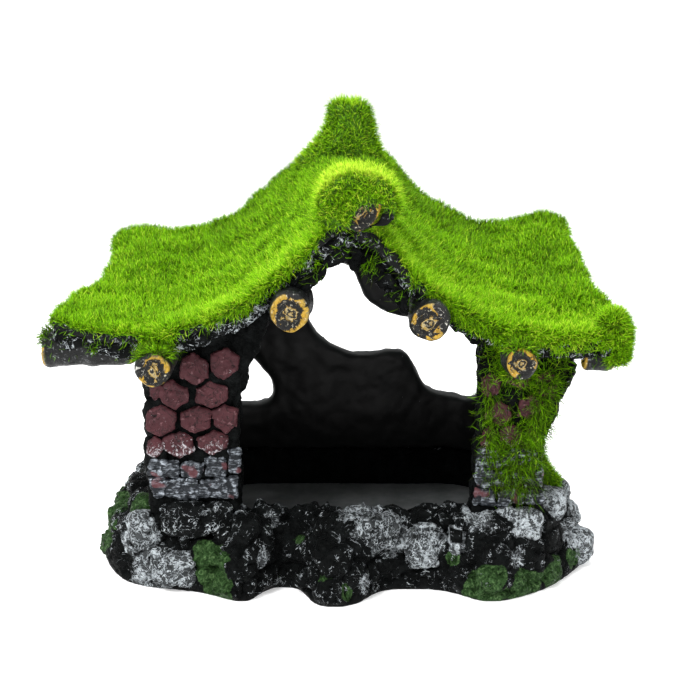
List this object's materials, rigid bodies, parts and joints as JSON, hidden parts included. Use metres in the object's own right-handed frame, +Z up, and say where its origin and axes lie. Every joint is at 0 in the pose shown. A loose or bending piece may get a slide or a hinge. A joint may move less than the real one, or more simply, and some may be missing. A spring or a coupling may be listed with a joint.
{
  "type": "aquarium cave ornament",
  "caption": "Small ruined stone cottage on a rock base, with a walk-through cave, windows in the rear wall and a sagging roof covered in flocked moss.",
  "frame": {"origin": "on the flat underside of the rock base, under the middle of the doorway", "axes": "+X to the right seen from the front, +Y to the rear, +Z up; the doorway faces -Y"},
  "size_m": [0.1374, 0.085, 0.1147],
  "materials": {
    "rock": "matt, dry-brushed",
    "rock_pale": "matt, dry-brushed",
    "rock_green": "matt, dry-brushed",
    "floor": "satin",
    "wall": "satin",
    "pier": "matt, dry-brushed",
    "cobble": "matt, dry-brushed",
    "brick": "matt, dry-brushed",
    "roof": "matt, dry-brushed",
    "log": "matt, ochre rim",
    "moss": "flocked fibre"
  },
  "bodies": {
    "root": {"rock_base": "rock", "cave_floor": "floor", "cave_wall": "wall", "left_pier": "pier", "right_pier": "pier", "roof_slab": "roof", "ridge_log": "log", "ridge_horn": "roof", "gable_board_left": "roof", "gable_board_right": "roof", "purlin_log_left": "log", "purlin_log_right": "log", "eave_log_left": "log", "eave_log_right": "log", "front_beam_left": "log", "front_beam_right": "log", "stone_left_upper": "rock_pale", "stone_left_foot": "rock_pale", "stone_right_sill": "rock_pale", "stone_left_lower": "rock_pale", "stone_front_slab": "rock_pale", "stone_front_right": "rock_pale", "stone_front_low": "rock_green", "stone_right_foot": "rock_pale", "stone_right_near": "rock_pale", "stone_right_upper": "rock_pale", "stone_right_outer": "rock_pale", "stone_rear_left": "rock_pale", "stone_rear_right": "rock_green", "left_pier_cobbles": "cobble", "left_pier_bricks": "brick", "right_pier_cobbles": "cobble", "right_pier_bricks": "brick", "rear_wall_cobbles": "cobble", "left_wall_cobbles": "cobble", "right_wall_cobbles": "cobble", "moss_roof_left": "moss", "moss_roof_right": "moss", "moss_ridge_roll": "moss", "moss_right_pier": "moss", "moss_right_bank": "moss", "moss_right_corner": "moss", "moss_horn": "moss"}
  },
  "joints": []
}
